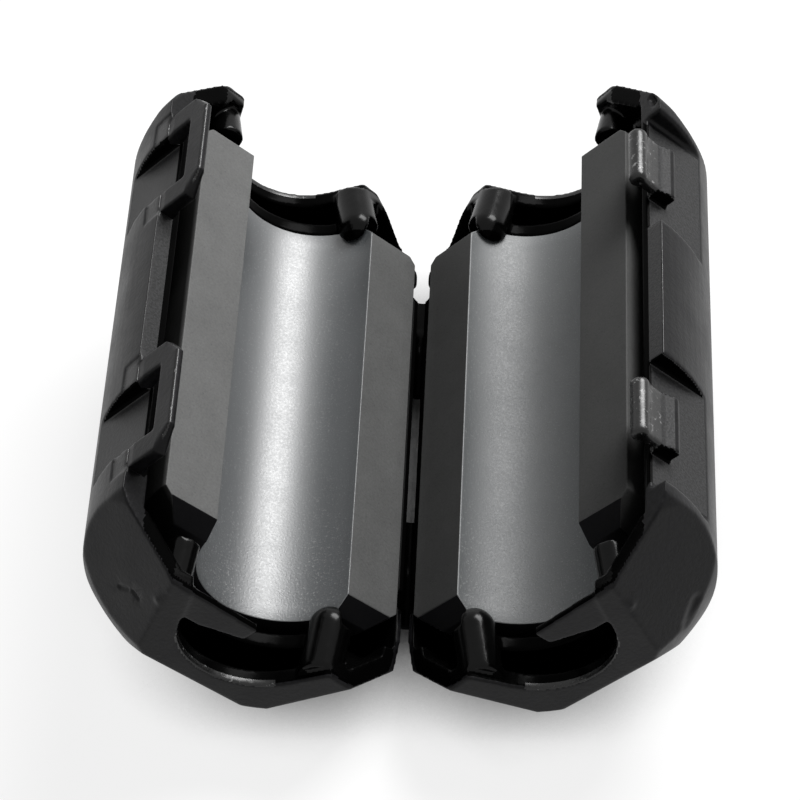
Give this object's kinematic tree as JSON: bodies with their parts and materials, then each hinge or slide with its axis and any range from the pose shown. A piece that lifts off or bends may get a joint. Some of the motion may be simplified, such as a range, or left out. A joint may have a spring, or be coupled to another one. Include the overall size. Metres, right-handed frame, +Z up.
{
  "type": "clip-on ferrite bead",
  "caption": "Split ferrite sleeve in a hinged plastic case that snaps round a cable to damp interference; shown open, lying on its back.",
  "frame": {"origin": "on the table, under the hinge line at the middle of the case's length, with the case lying open on its round backs", "axes": "+Y along the cable from the near end with the grip fingers' side of the hinge to the far end; +X from the latch half to the catch half; +Z up, the way both open bores face"},
  "size_m": [0.0322, 0.0344, 0.0189],
  "materials": {
    "case_plastic": "satin",
    "ferrite": "satin"
  },
  "bodies": {
    "latch_half": {"latch_shell": "case_plastic", "latch_core": "ferrite", "hinge_film": "case_plastic"},
    "catch_half": {"catch_shell": "case_plastic", "catch_core": "ferrite"},
    "near_loop": {"near_loop": "case_plastic"},
    "far_loop": {"far_loop": "case_plastic"}
  },
  "joints": [
    {"name": "case_hinge", "type": "hinge", "parent": "latch_half", "child": "catch_half", "pos_m": [0, 0, 0.00363], "axis": [0, -1, 0], "range_deg": [-90, 90], "deforming": ["hinge_film"]},
    {"name": "near_loop_flex", "type": "hinge", "parent": "latch_half", "child": "near_loop", "pos_m": [-0.01354, -0.0086, 0.01575], "axis": [0, -1, 0], "range_deg": [0, 18], "stiffness_Nm_per_rad": 0.1},
    {"name": "far_loop_flex", "type": "hinge", "parent": "latch_half", "child": "far_loop", "pos_m": [-0.01354, 0.0086, 0.01575], "axis": [0, -1, 0], "range_deg": [0, 18], "stiffness_Nm_per_rad": 0.1}
  ]
}
